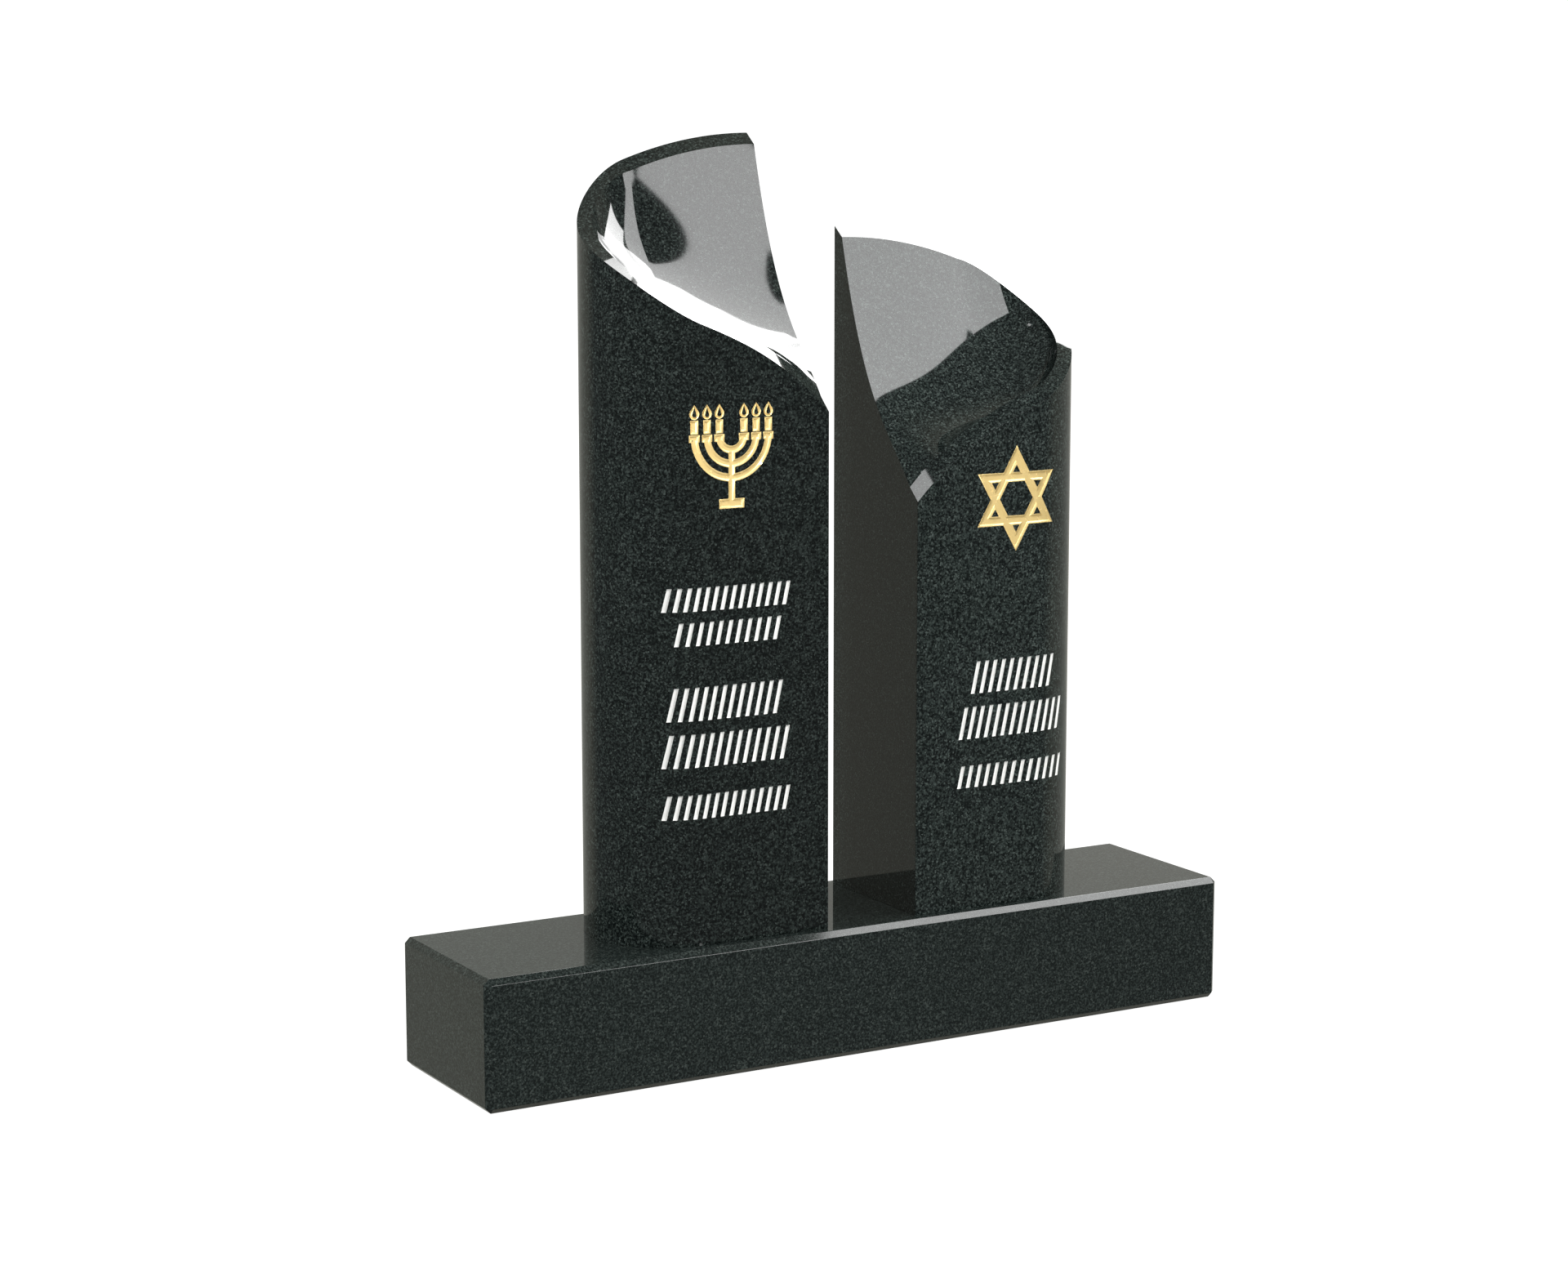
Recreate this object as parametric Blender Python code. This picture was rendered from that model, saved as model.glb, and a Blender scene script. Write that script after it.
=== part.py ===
"""Family headstone: two polished granite stones standing on one long granite base.

The stones are a mirrored pair of unequal height. In plan each is a D: flat towards its
partner, half-round on the outside. Each top falls forwards and inwards, and is hollowed
into a scoop inside a narrow rim that is open on the inner face.
"""

import math

import bmesh
import bpy

INCH = 0.0254

# Base: a long block that shows a ledge on every side of the pair, chamfered on all edges
BASE_HEIGHT = 8.0 * INCH
FACE_LEDGE = 1.0 * INCH
END_LEDGE = 9.375 * INCH
BASE_CHAMFER = 0.0087

# Stones: the D-shaped plan that both share, and their own heights above the base
STONE_WIDTH = 13.5 * INCH
STONE_THICKNESS = 10.0 * INCH
LEFT_HEIGHT = 47.75 * INCH
RIGHT_HEIGHT = 42.0 * INCH
STONE_GAP = 6.25 * INCH
PAIR_OFFSET = 0.0103
ARRIS = 0.003
JOINT = 0.0003

# Top: how far the back and the front edge lie below the highest corner, and how steeply
# the front edge starts and ends, as fall for each metre outwards
BACK_FALL = 0.098
FRONT_FALL_INNER = 0.4135
FRONT_FALL_OUTER = 0.223
FRONT_SLOPE_INNER = 1.06
FRONT_SLOPE_OUTER = 0.49

# Rim and scoop: the rim's width, and its rise for each metre inwards. It sinks inwards along
# the back, rises along the front, and turns from one to the other round the outer end. Then
# the hollow inside it: its depth at the inner face and at the outer end, how much deeper it is
# midway, how far it leans to the back at the inner face, and how flat its floor is at the
# outer end, for which the walls are steeper below the level given
RIM_WIDTH = 0.0232
RIM_LIFT = 0.068
RIM_LEAN_BACK = 0.812
RIM_LEAN_OUT = 0.081
RIM_TWIST = 0.852
HOLLOW = 0.064
HOLLOW_OUTER_END = 0.068
HOLLOW_SAG = 0.046
HOLLOW_SKEW = 0.585
HOLLOW_FLATNESS = 0.9
FLATNESS_LEVEL = 0.6

# Marks sunk in the fronts
CUT_DEPTH = 0.003

# Lampstand on the left stone: three nested arms on a stem with a foot, six candles
LAMP_CENTRE = 0.1675
LAMP_HEIGHT = 0.7714
ARM_PITCH = 0.0208
ARM_WIDTH = 0.0115
ARM_PAIRS = 3
STEM_WIDTH = 0.0112
FOOT_WIDTH = 0.0426
FOOT_HEIGHT = 0.0145
FOOT_DROP = 0.0940
CUP_WIDTH = 0.0172
CUP_HEIGHT = 0.0110
CUP_DROP = 0.0078
CANDLE_WIDTH = 0.0124
CANDLE_HEIGHT = 0.0205
FLAME_WIDTH = 0.0160
FLAME_HEIGHT = 0.0220
FLAME_SIDE = 0.0046
FLAME_BOTTOM = 0.0034
FLAME_TOP = 0.0040
WEB = 0.0012

# Six-pointed star on the right stone: two crossed triangular bands
STAR_CENTRE = 0.1815
STAR_HEIGHT = 0.6475
STAR_RADIUS = 0.083
STAR_BAND = 0.0149

# Rows of plain slanting strokes: (bottom above the base, height, margin to the inner face,
# margin to the outer end), counted from the top row down
LEFT_ROWS = (
    (0.5116, 0.0353, 0.067, 0.064),
    (0.4596, 0.0350, 0.083, 0.081),
    (0.3460, 0.0505, 0.080, 0.070),
    (0.2750, 0.0505, 0.068, 0.063),
    (0.1960, 0.0370, 0.067, 0.063),
)
RIGHT_ROWS = (
    (0.3440, 0.0505, 0.100, 0.082),
    (0.2725, 0.0505, 0.078, 0.060),
    (0.1945, 0.0350, 0.076, 0.059),
)
STROKE_PITCH = 0.0150
STROKE_WIDTH = 0.0066
STROKE_SLANT = 0.22

# Fineness of the curved faces. The scoop's rings lie closer together towards its rim
END_FACETS = 24
SIDE_STEPS = 7
SCOOP_STEPS = 10
RING_CROWDING = 1.3
ARM_FACETS = 16
FLAME_TURNS = 10

ROUND_RADIUS = STONE_THICKNESS / 2
FLAT_WIDTH = STONE_WIDTH - ROUND_RADIUS
BASE_LENGTH = 2 * STONE_WIDTH + STONE_GAP + 2 * END_LEDGE
BASE_DEPTH = STONE_THICKNESS + 2 * FACE_LEDGE


def new_material(name, colour, roughness):
    material = bpy.data.materials.new(name)
    material.use_nodes = True
    shader = material.node_tree.nodes["Principled BSDF"]
    shader.inputs["Base Color"].default_value = (*colour, 1.0)
    shader.inputs["Roughness"].default_value = roughness
    shader.inputs["Metallic"].default_value = 0.0
    return material


def new_object(name, body, location, material=None):
    """Turn a bmesh into an object of the scene."""
    bmesh.ops.recalc_face_normals(body, faces=body.faces)
    mesh = bpy.data.meshes.new(name)
    body.to_mesh(mesh)
    body.free()
    thing = bpy.data.objects.new(name, mesh)
    thing.location = location
    bpy.context.collection.objects.link(thing)
    if material is None:
        thing.hide_render = True
        thing.display_type = "WIRE"
    else:
        mesh.materials.append(material)
    return thing


def cut(thing, tool):
    """Take the tool's shape out of a piece."""
    step = thing.modifiers.new("cut by " + tool.name, "BOOLEAN")
    step.operation = "DIFFERENCE"
    step.solver = "EXACT"
    step.object = tool


# The D-shaped plan, with u running outwards from the flat inner face

def plan(inset):
    """Points (u, y) and outward directions, from the inner face's back to its front."""
    radius = ROUND_RADIUS - inset
    points = []
    for step in range(SIDE_STEPS):
        points.append((FLAT_WIDTH * step / SIDE_STEPS, radius, 0.0, 1.0))
    for step in range(END_FACETS + 1):
        angle = math.pi * step / END_FACETS
        across, along = math.sin(angle), math.cos(angle)
        points.append((FLAT_WIDTH + radius * across, radius * along, across, along))
    for step in range(SIDE_STEPS - 1, -1, -1):
        points.append((FLAT_WIDTH * step / SIDE_STEPS, -radius, 0.0, -1.0))
    return points


# Heights of the top, measured down from the highest corner, so they are all negative

def back_edge(u):
    return -BACK_FALL * (u / STONE_WIDTH) ** 2


def front_edge(u):
    """A cubic between the fall and slope at the inner face and those at the outer end."""
    t = u / STONE_WIDTH
    fall = FRONT_FALL_INNER * (2 * t ** 3 - 3 * t ** 2 + 1)
    fall -= FRONT_SLOPE_INNER * STONE_WIDTH * (t ** 3 - 2 * t ** 2 + t)
    fall += FRONT_FALL_OUTER * (3 * t ** 2 - 2 * t ** 3)
    fall -= FRONT_SLOPE_OUTER * STONE_WIDTH * (t ** 3 - t ** 2)
    return -fall


def outline_height(u, y):
    """Height of the top's outer edge: straight in y between the back and the front edge."""
    share = (y + ROUND_RADIUS) / STONE_THICKNESS
    return front_edge(u) + share * (back_edge(u) - front_edge(u))


def rim_height(u, y, across, along, inset):
    """Height on the rim, from the outer edge's point and its outward direction."""
    slope = RIM_LIFT - RIM_LEAN_BACK * along + RIM_LEAN_OUT * across
    slope += RIM_TWIST * across * along
    return outline_height(u, y) + inset * slope


def scoop_height(u, y):
    """Height inside the rim: hollow between the rim's back and front stretch."""
    reach = ROUND_RADIUS - RIM_WIDTH
    across = max(0.0, min(1.0, (u - FLAT_WIDTH) / reach))
    along = math.sqrt(1.0 - across ** 2)
    outer_u = u + RIM_WIDTH * across
    outer_y = ROUND_RADIUS * along
    back = rim_height(outer_u, outer_y, across, along, RIM_WIDTH)
    front = rim_height(outer_u, -outer_y, across, -along, RIM_WIDTH)
    half_span = max(reach * along, 1e-6)
    place = max(-1.0, min(1.0, y / half_span))
    chord = (back + front) / 2 + (back - front) / 2 * place
    outwards = min(1.0, u / (STONE_WIDTH - RIM_WIDTH))
    depth = HOLLOW + (HOLLOW_OUTER_END - HOLLOW) * outwards
    depth += HOLLOW_SAG * 4.0 * outwards * (1.0 - outwards)
    arch = 1.0 - place ** 2
    levelling = 1.0 - HOLLOW_FLATNESS * outwards * (arch - FLATNESS_LEVEL)
    leaning = 1.0 + HOLLOW_SKEW * (1.0 - outwards) ** 3 * y / reach
    return chord - depth * along * arch * levelling * leaning


def top_rings():
    """Rings of (u, y, height) over the plan, from the outer edge to the middle line."""
    edge = plan(0.0)
    rings = [[(u, y, outline_height(u, y)) for u, y, across, along in edge]]
    inner = plan(RIM_WIDTH)
    ring = []
    for outer, point in zip(edge, inner):
        ring.append((point[0], point[1], rim_height(*outer, RIM_WIDTH)))
    rings.append(ring)
    reach = ROUND_RADIUS - RIM_WIDTH
    for step in range(1, SCOOP_STEPS + 1):
        inset = RIM_WIDTH + reach * (step / SCOOP_STEPS) ** RING_CROWDING
        rings.append([(u, y, scoop_height(u, y)) for u, y, across, along in plan(inset)])
    return rings


def stone_body(side, height):
    """One stone with its inner face at x = 0, its seat at z = 0 and every arris eased."""
    body = bmesh.new()
    rings = []
    for ring in top_rings():
        rings.append([body.verts.new((side * u, y, height + z)) for u, y, z in ring])
    for outer, inner in zip(rings, rings[1:]):
        for i in range(len(outer) - 1):
            body.faces.new((outer[i], outer[i + 1], inner[i + 1], inner[i]))
    top = set(body.faces)

    seat = [body.verts.new((side * u, y, 0.0)) for u, y, across, along in plan(0.0)]
    walls = []
    for i in range(len(seat) - 1):
        walls.append(body.faces.new((rings[0][i], seat[i], seat[i + 1], rings[0][i + 1])))
    body.faces.new(seat)
    front_half = [ring[-1] for ring in rings]
    back_half = [ring[0] for ring in rings]
    inner_face = body.faces.new([seat[0]] + back_half + front_half[::-1][1:] + [seat[-1]])

    sharp = []
    for edge in body.edges:
        kinds = {0 if face in top else 1 if face in walls else 2 if face is inner_face else 3
                 for face in edge.link_faces}
        if len(kinds) == 2 and 3 not in kinds:
            sharp.append(edge)
    bmesh.ops.remove_doubles(body, verts=body.verts, dist=0.00001)
    sharp = [edge for edge in sharp if edge.is_valid]
    bmesh.ops.recalc_face_normals(body, faces=body.faces)
    bmesh.ops.bevel(body, geom=sharp, offset=ARRIS, offset_type="OFFSET", segments=1,
                    profile=0.5, affect="EDGES", clamp_overlap=True)
    return body


# Marks: flat outlines of (x, z) pushed through the front as prisms

def add_prism(body, outline, proud):
    """A prism that stands proud of the front and reaches deep into the stone."""
    near = -ROUND_RADIUS - proud
    far = -ROUND_RADIUS / 4
    front = [body.verts.new((x, near, z)) for x, z in outline]
    back = [body.verts.new((x, far, z)) for x, z in outline]
    body.faces.new(front)
    body.faces.new(back[::-1])
    for i in range(len(outline)):
        j = (i + 1) % len(outline)
        body.faces.new((front[j], front[i], back[i], back[j]))


def add_frame(body, outer, inner, proud):
    """The same with a hole: two outlines with as many points as each other."""
    near = -ROUND_RADIUS - proud
    far = -ROUND_RADIUS / 4
    loops = []
    for outline in (outer, inner):
        for y in (near, far):
            loops.append([body.verts.new((x, y, z)) for x, z in outline])
    outer_near, outer_far, inner_near, inner_far = loops
    for i in range(len(outer)):
        j = (i + 1) % len(outer)
        body.faces.new((outer_near[i], outer_near[j], inner_near[j], inner_near[i]))
        body.faces.new((outer_far[j], outer_far[i], inner_far[i], inner_far[j]))
        body.faces.new((outer_near[j], outer_near[i], outer_far[i], outer_far[j]))
        body.faces.new((inner_near[i], inner_near[j], inner_far[j], inner_far[i]))


def bar(x, z, width, height):
    """A rectangle's outline, standing on (x, z)."""
    half = width / 2
    return [(x - half, z), (x + half, z), (x + half, z + height), (x - half, z + height)]


def arm(centre, height, radius):
    """A half ring, open upwards, for one pair of arms."""
    outline = []
    for step in range(ARM_FACETS + 1):
        angle = math.pi + math.pi * step / ARM_FACETS
        outline.append((radius + ARM_WIDTH / 2, angle))
    for step in range(ARM_FACETS, -1, -1):
        angle = math.pi + math.pi * step / ARM_FACETS
        outline.append((radius - ARM_WIDTH / 2, angle))
    return [(centre + r * math.cos(a), height + r * math.sin(a)) for r, a in outline]


def drop(x, z, width, height):
    """A teardrop's outline, pointed at the top, standing on (x, z)."""
    radius = width / 2
    middle = z + radius
    tip = z + height
    lean = math.asin(radius / (tip - middle))
    outline = [(x, tip)]
    for step in range(FLAME_TURNS + 1):
        angle = math.pi - lean + (math.pi + 2 * lean) * step / FLAME_TURNS
        outline.append((x + radius * math.cos(angle), middle + radius * math.sin(angle)))
    return outline


def triangle(x, z, radius, turn):
    corners = []
    for step in range(3):
        angle = math.radians(turn + 120 * step)
        corners.append((x + radius * math.cos(angle), z + radius * math.sin(angle)))
    return corners


def row_strokes(side, bottom, height, inner_margin, outer_margin):
    """Outlines of one row's strokes, in (x, z)."""
    length = STONE_WIDTH - inner_margin - outer_margin
    lean = STROKE_SLANT * height
    count = int((length - lean - STROKE_WIDTH) / STROKE_PITCH) + 1
    pitch = (length - lean - STROKE_WIDTH) / max(1, count - 1)
    left = inner_margin if side > 0 else -inner_margin - length
    strokes = []
    for i in range(count):
        x = left + i * pitch
        strokes.append([
            (x, bottom),
            (x + STROKE_WIDTH, bottom),
            (x + lean + STROKE_WIDTH, bottom + height),
            (x + lean, bottom + height),
        ])
    return strokes


def lampstand_tools(side, location):
    """Cutting tools for the lampstand: arms and stem overlap, so each is its own tool."""
    x = side * LAMP_CENTRE
    arms = bmesh.new()
    for pair in range(1, ARM_PAIRS + 1):
        add_prism(arms, arm(x, LAMP_HEIGHT, pair * ARM_PITCH), 0.010)
    stem = bmesh.new()
    foot = LAMP_HEIGHT - FOOT_DROP
    stem_top = LAMP_HEIGHT - ARM_PITCH
    add_prism(stem, bar(x, foot - FOOT_HEIGHT / 2, STEM_WIDTH, stem_top - foot + FOOT_HEIGHT / 2), 0.011)
    rest = bmesh.new()
    add_prism(rest, bar(x, foot - FOOT_HEIGHT, FOOT_WIDTH, FOOT_HEIGHT), 0.012)
    for pair in range(1, ARM_PAIRS + 1):
        for way in (-1, 1):
            place = x + way * pair * ARM_PITCH
            level = LAMP_HEIGHT - CUP_DROP
            add_prism(rest, bar(place, level, CUP_WIDTH, CUP_HEIGHT), 0.012)
            level += CUP_HEIGHT + WEB
            add_prism(rest, bar(place, level, CANDLE_WIDTH, CANDLE_HEIGHT), 0.012)
            level += CANDLE_HEIGHT + WEB
            outer = drop(place, level, FLAME_WIDTH, FLAME_HEIGHT)
            inner = drop(place, level + FLAME_BOTTOM, FLAME_WIDTH - 2 * FLAME_SIDE,
                         FLAME_HEIGHT - FLAME_BOTTOM - FLAME_TOP)
            add_frame(rest, outer, inner, 0.012)
    bodies = {"lamp_arms": arms, "lamp_stem": stem, "lamp_rest": rest}
    return [new_object(name, body, location) for name, body in bodies.items()]


def star_tools(side, location):
    """Cutting tools for the star: one triangular band up and one down."""
    tools = []
    for name, turn, proud in (("star_up", 90, 0.010), ("star_down", 270, 0.011)):
        body = bmesh.new()
        outer = triangle(side * STAR_CENTRE, STAR_HEIGHT, STAR_RADIUS, turn)
        inner = triangle(side * STAR_CENTRE, STAR_HEIGHT, STAR_RADIUS - 2 * STAR_BAND, turn)
        add_frame(body, outer, inner, proud)
        tools.append(new_object(name, body, location))
    return tools


def row_tool(name, side, rows, location):
    body = bmesh.new()
    for row in rows:
        for stroke in row_strokes(side, *row):
            add_prism(body, stroke, 0.010)
    return new_object(name, body, location)


def core_tool(name, side, height, location):
    """What stays behind the marks: the stone's plan, smaller by the depth of the cut."""
    body = bmesh.new()
    outline = [(side * u, y) for u, y, across, along in plan(CUT_DEPTH)]
    back, front = outline[0][1], outline[-1][1]
    outline = [(-side * STONE_GAP / 4, back)] + outline + [(-side * STONE_GAP / 4, front)]
    low = [body.verts.new((x, y, -0.01)) for x, y in outline]
    high = [body.verts.new((x, y, height + 0.01)) for x, y in outline]
    body.faces.new(low)
    body.faces.new(high)
    for i in range(len(outline)):
        j = (i + 1) % len(outline)
        body.faces.new((low[i], low[j], high[j], high[i]))
    return new_object(name, body, location)


def build_base(material):
    body = bmesh.new()
    bmesh.ops.create_cube(body, size=1.0)
    bmesh.ops.scale(body, vec=(BASE_LENGTH, BASE_DEPTH, BASE_HEIGHT), verts=body.verts)
    bmesh.ops.translate(body, vec=(0.0, 0.0, BASE_HEIGHT / 2), verts=body.verts)
    bmesh.ops.bevel(body, geom=body.edges[:], offset=BASE_CHAMFER, segments=1,
                    profile=0.5, affect="EDGES")
    return new_object("base", body, (0.0, 0.0, 0.0), material)


def build_stone(name, side, height, rows, emblem_tools, material):
    """One stone standing on the base, with its emblem and rows sunk in the front."""
    location = (PAIR_OFFSET + side * STONE_GAP / 2, 0.0, BASE_HEIGHT + JOINT)
    stone = new_object(name, stone_body(side, height), location, material)
    core = core_tool(name + "_core", side, height, location)
    tools = emblem_tools(side, location)
    tools.append(row_tool(name + "_rows", side, rows, location))
    for tool in tools:
        cut(tool, core)
        cut(stone, tool)
    stone.data.shade_smooth()
    stone.data.set_sharp_from_angle(angle=math.radians(20))
    return stone


for thing in list(bpy.data.objects):
    bpy.data.objects.remove(thing, do_unlink=True)

build_base(new_material("base granite", (0.017, 0.022, 0.021), 0.12))
build_stone("left_stone", -1, LEFT_HEIGHT, LEFT_ROWS, lampstand_tools,
            new_material("left stone granite", (0.012, 0.019, 0.018), 0.12))
build_stone("right_stone", 1, RIGHT_HEIGHT, RIGHT_ROWS, star_tools,
            new_material("right stone granite", (0.012, 0.019, 0.018), 0.12))
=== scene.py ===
"""Looks of a family headstone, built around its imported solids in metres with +Z up.

Two polished granite stones stand on a granite base. Their emblems are gilded and their
rows of strokes are painted white. A pale studio stands round them.
"""

import math

import bmesh
import bpy
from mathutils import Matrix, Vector


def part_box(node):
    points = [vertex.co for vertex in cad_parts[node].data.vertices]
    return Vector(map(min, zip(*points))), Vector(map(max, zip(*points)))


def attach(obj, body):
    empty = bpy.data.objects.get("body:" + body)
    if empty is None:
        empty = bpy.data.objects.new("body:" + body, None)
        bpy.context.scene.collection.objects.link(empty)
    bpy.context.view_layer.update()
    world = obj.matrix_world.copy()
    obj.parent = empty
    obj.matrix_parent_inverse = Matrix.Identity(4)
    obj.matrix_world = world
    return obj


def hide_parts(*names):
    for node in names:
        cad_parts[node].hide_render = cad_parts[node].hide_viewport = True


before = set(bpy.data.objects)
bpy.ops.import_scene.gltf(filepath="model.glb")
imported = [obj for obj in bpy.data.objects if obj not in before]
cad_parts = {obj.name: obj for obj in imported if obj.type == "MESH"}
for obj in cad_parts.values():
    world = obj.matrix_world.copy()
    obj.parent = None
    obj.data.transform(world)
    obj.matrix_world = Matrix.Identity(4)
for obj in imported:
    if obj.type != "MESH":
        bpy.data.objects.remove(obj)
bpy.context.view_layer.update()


# Base
# One long block of dark granite that both stones are bedded on. It is sawn to size, has a
# 45 degree chamfer on every edge, and is polished on each face that shows.

BASE_CHAMFER = 0.0087
CHAMFER_SOFTNESS = 0.0007
CHAMFER_CREASE = math.radians(20)
STONE_IOR = 1.54
CRYSTALS_FROM = 0.44
CRYSTALS_FULL = 0.68
FLECKS_FROM = 0.82
CELLS_PER_GRAIN = 1.3


def granite(name, ground, crystal, fleck, grain, polish):
    """Polished dark granite: a dark ground, mid grey crystals and a few pale flecks."""
    material = bpy.data.materials.new(name)
    material.use_nodes = True
    nodes = material.node_tree.nodes
    links = material.node_tree.links
    shader = nodes["Principled BSDF"]
    shader.inputs["Roughness"].default_value = polish
    shader.inputs["IOR"].default_value = STONE_IOR
    place = nodes.new("ShaderNodeTexCoord")

    cloud = nodes.new("ShaderNodeTexNoise")
    cloud.inputs["Scale"].default_value = 1.0 / grain
    cloud.inputs["Detail"].default_value = 3.0
    cloud.inputs["Roughness"].default_value = 0.62
    links.new(place.outputs["Object"], cloud.inputs["Vector"])
    crystals = nodes.new("ShaderNodeValToRGB")
    crystals.color_ramp.elements[0].position = CRYSTALS_FROM
    crystals.color_ramp.elements[0].color = (*ground, 1.0)
    crystals.color_ramp.elements[1].position = CRYSTALS_FULL
    crystals.color_ramp.elements[1].color = (*crystal, 1.0)
    links.new(cloud.outputs["Fac"], crystals.inputs["Fac"])

    cells = nodes.new("ShaderNodeTexVoronoi")
    cells.inputs["Scale"].default_value = CELLS_PER_GRAIN / grain
    cells.inputs["Randomness"].default_value = 1.0
    links.new(place.outputs["Object"], cells.inputs["Vector"])
    tone = nodes.new("ShaderNodeSeparateColor")
    links.new(cells.outputs["Color"], tone.inputs["Color"])
    few = nodes.new("ShaderNodeMapRange")
    few.inputs["From Min"].default_value = FLECKS_FROM
    few.inputs["From Max"].default_value = 1.0
    links.new(tone.outputs["Red"], few.inputs["Value"])
    blend = nodes.new("ShaderNodeMix")
    blend.data_type = "RGBA"
    blend.inputs["B"].default_value = (*fleck, 1.0)
    links.new(few.outputs["Result"], blend.inputs["Factor"])
    links.new(crystals.outputs["Color"], blend.inputs["A"])
    links.new(blend.outputs["Result"], shader.inputs["Base Color"])
    return material


base_granite = granite("base granite", (0.004, 0.0065, 0.006), (0.032, 0.042, 0.039),
                       (0.047, 0.058, 0.053), 0.0034, 0.05)

base_low, base_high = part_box("base")
block = bmesh.new()
bmesh.ops.create_cube(block, size=1.0)
bmesh.ops.scale(block, vec=base_high - base_low, verts=block.verts)
bmesh.ops.translate(block, vec=(base_low + base_high) / 2, verts=block.verts)
bmesh.ops.bevel(block, geom=block.edges[:], offset=BASE_CHAMFER, segments=1, profile=0.5,
                affect="EDGES")
base_mesh = bpy.data.meshes.new("granite_base")
block.to_mesh(base_mesh)
block.free()
base_mesh.materials.append(base_granite)
base_mesh.shade_smooth()
granite_base = bpy.data.objects.new("granite_base", base_mesh)
bpy.context.collection.objects.link(granite_base)
softening = granite_base.modifiers.new("softened arrises", "BEVEL")
softening.width = CHAMFER_SOFTNESS
softening.segments = 2
softening.limit_method = "ANGLE"
softening.angle_limit = CHAMFER_CREASE
softening.harden_normals = True
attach(granite_base, "root")
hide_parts("base")


# Stones
# A mirrored pair of upright blocks, each a D in plan: flat towards its partner and half
# round outside. The top falls forwards and inwards, and is hollowed inside a narrow rim.

STONE_ARRIS = 0.003
ARRIS_SEGMENTS = 3
JOIN_DISTANCE = 0.00001
RIM_WIDTH = 0.0232
BACK_FALL = 0.098
FRONT_FALL_INNER = 0.4135
FRONT_FALL_OUTER = 0.223
FRONT_SLOPE_INNER = 1.06
FRONT_SLOPE_OUTER = 0.49
RIM_LIFT = 0.068
RIM_LEAN_BACK = 0.812
RIM_LEAN_OUT = 0.081
RIM_TWIST = 0.852
HOLLOW = 0.064
HOLLOW_OUTER_END = 0.068
HOLLOW_SAG = 0.046
HOLLOW_SKEW = 0.585
HOLLOW_FLATNESS = 0.9
FLATNESS_LEVEL = 0.6
END_FACETS = 96
SIDE_STEPS = 28
RIM_STEPS = 3
SCOOP_STEPS = 40
RING_CROWDING = 1.4

left_low, left_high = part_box("left_stone")
right_low, right_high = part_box("right_stone")
stone_width = left_high.x - left_low.x
round_radius = (left_high.y - left_low.y) / 2
flat_width = stone_width - round_radius
stone_seat = left_low.z

stone_granite = granite("stone granite", (0.0006, 0.0018, 0.0017), (0.0275, 0.0370, 0.0338),
                        (0.048, 0.061, 0.056), 0.0033, 0.05)


def plan(inset):
    """Points (u, y) and outward directions, u running out from the inner face."""
    radius = round_radius - inset
    points = []
    for step in range(SIDE_STEPS):
        points.append((flat_width * step / SIDE_STEPS, radius, 0.0, 1.0))
    for step in range(END_FACETS + 1):
        angle = math.pi * step / END_FACETS
        across, along = math.sin(angle), math.cos(angle)
        points.append((flat_width + radius * across, radius * along, across, along))
    for step in range(SIDE_STEPS - 1, -1, -1):
        points.append((flat_width * step / SIDE_STEPS, -radius, 0.0, -1.0))
    return points


def outline_height(u, y):
    """Height of the top's outer edge below the highest corner."""
    t = u / stone_width
    back = -BACK_FALL * t ** 2
    front = -FRONT_FALL_INNER * (2 * t ** 3 - 3 * t ** 2 + 1)
    front += FRONT_SLOPE_INNER * stone_width * (t ** 3 - 2 * t ** 2 + t)
    front -= FRONT_FALL_OUTER * (3 * t ** 2 - 2 * t ** 3)
    front += FRONT_SLOPE_OUTER * stone_width * (t ** 3 - t ** 2)
    share = (y + round_radius) / (2 * round_radius)
    return front + share * (back - front)


def rim_height(u, y, across, along, inset):
    """Height on the rim, from the outer edge's point and its outward direction."""
    slope = RIM_LIFT - RIM_LEAN_BACK * along + RIM_LEAN_OUT * across
    slope += RIM_TWIST * across * along
    return outline_height(u, y) + inset * slope


def scoop_height(u, y):
    """Height in the hollow between the rim's back and front stretch."""
    reach = round_radius - RIM_WIDTH
    across = max(0.0, min(1.0, (u - flat_width) / reach))
    along = math.sqrt(1.0 - across ** 2)
    outer_u = u + RIM_WIDTH * across
    outer_y = round_radius * along
    back = rim_height(outer_u, outer_y, across, along, RIM_WIDTH)
    front = rim_height(outer_u, -outer_y, across, -along, RIM_WIDTH)
    half_span = max(reach * along, 1e-6)
    place = max(-1.0, min(1.0, y / half_span))
    chord = (back + front) / 2 + (back - front) / 2 * place
    outwards = min(1.0, u / (stone_width - RIM_WIDTH))
    depth = HOLLOW + (HOLLOW_OUTER_END - HOLLOW) * outwards
    depth += HOLLOW_SAG * 4.0 * outwards * (1.0 - outwards)
    arch = 1.0 - place ** 2
    levelling = 1.0 - HOLLOW_FLATNESS * outwards * (arch - FLATNESS_LEVEL)
    leaning = 1.0 + HOLLOW_SKEW * (1.0 - outwards) ** 3 * y / reach
    return chord - depth * along * arch * levelling * leaning


def top_rings():
    """Rings of (u, y, height) from the outer edge over the rim to the middle line."""
    edge = plan(0.0)
    rings = []
    for step in range(RIM_STEPS + 1):
        inset = RIM_WIDTH * step / RIM_STEPS
        ring = []
        for outer, point in zip(edge, plan(inset)):
            ring.append((point[0], point[1], rim_height(*outer, inset)))
        rings.append(ring)
    reach = round_radius - RIM_WIDTH
    for step in range(1, SCOOP_STEPS + 1):
        inset = RIM_WIDTH + reach * (step / SCOOP_STEPS) ** RING_CROWDING
        rings.append([(u, y, scoop_height(u, y)) for u, y, across, along in plan(inset)])
    return rings


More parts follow.
